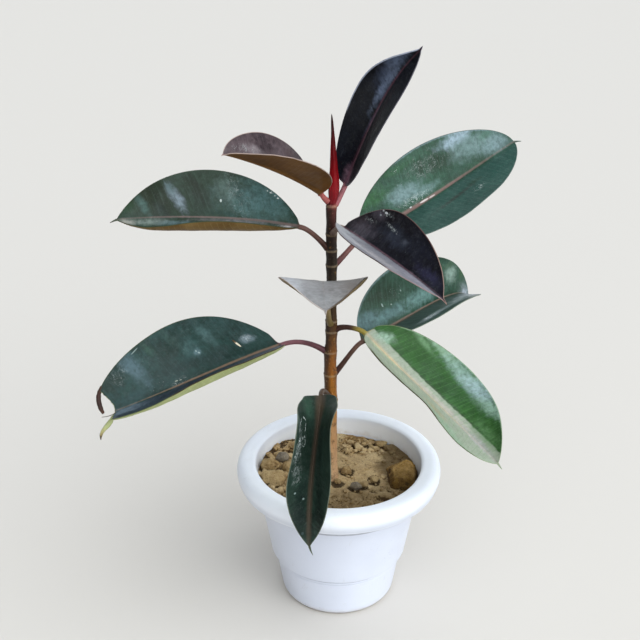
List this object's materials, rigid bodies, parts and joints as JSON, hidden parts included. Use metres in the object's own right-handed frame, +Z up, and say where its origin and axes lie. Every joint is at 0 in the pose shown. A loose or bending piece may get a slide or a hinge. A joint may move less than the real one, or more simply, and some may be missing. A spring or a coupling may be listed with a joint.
{
  "type": "potted rubber plant",
  "caption": "Young rubber plant with a single upright stem, broad glossy leaves and a red bud sheath, standing in a round tapered plastic pot of dry soil.",
  "frame": {"origin": "centre of the flat underside of the pot", "axes": "+Z up along the pot's axis; -Y towards the side that the picture shows, +X to the right seen from there"},
  "size_m": [0.3936, 0.3067, 0.5771],
  "materials": {
    "pot": "satin white moulded plastic",
    "soil": "dry tan-brown earth, matt and crumbly",
    "clods": "dry clods of the same earth, matt",
    "stones": "small grey stones with earth dust",
    "stem": "smooth young bark, red-brown at the top to ochre below",
    "bud_sheath": "satin crimson bud sheath",
    "leaf_01_young_folded": "satin young leaf, purplish above and bronze below",
    "leaf_02_top_upright": "glossy near-black leaf with a pink-purple midrib",
    "leaf_03_upper_right": "glossy green leaf with pale sky reflections",
    "leaf_04_dark_right": "glossy near-black purple leaf with a pink margin",
    "leaf_05_upper_left": "glossy dark green leaf, brown underside",
    "leaf_06_front_arched": "glossy leaf seen at a low angle, silvery grey with reflected sky",
    "leaf_07_middle_right": "glossy green leaf",
    "leaf_08_lower_right": "glossy bright green leaf with a cream-pink midrib",
    "leaf_09_lower_left": "glossy dark green leaf, pale green underside, bitten tip",
    "leaf_10_front_hanging": "very dark green leaf with a red-brown midrib and pale scratches"
  },
  "bodies": {
    "root": {"pot": "pot", "soil": "soil", "stem": "stem", "bud_sheath": "bud_sheath", "clod_left_big": "clods", "clod_left_upper": "clods", "stone_left_grey": "stones", "clod_left_inner": "clods", "clod_right_big": "clods", "crumb_by_stem_front": "clods", "stone_front_grey": "stones", "clod_front_middle": "clods", "clod_front_right": "clods", "clod_by_stem_right": "clods", "crumb_back_left": "clods", "crumb_back_middle": "clods", "crumb_back_right": "clods", "clod_back_right": "clods", "leaf_01_young_folded": "leaf_01_young_folded", "leaf_02_top_upright": "leaf_02_top_upright", "leaf_03_upper_right": "leaf_03_upper_right", "leaf_04_dark_right": "leaf_04_dark_right", "leaf_05_upper_left": "leaf_05_upper_left", "leaf_06_front_arched": "leaf_06_front_arched", "leaf_07_middle_right": "leaf_07_middle_right", "leaf_08_lower_right": "leaf_08_lower_right", "leaf_09_lower_left": "leaf_09_lower_left", "leaf_10_front_hanging": "leaf_10_front_hanging"}
  },
  "joints": []
}
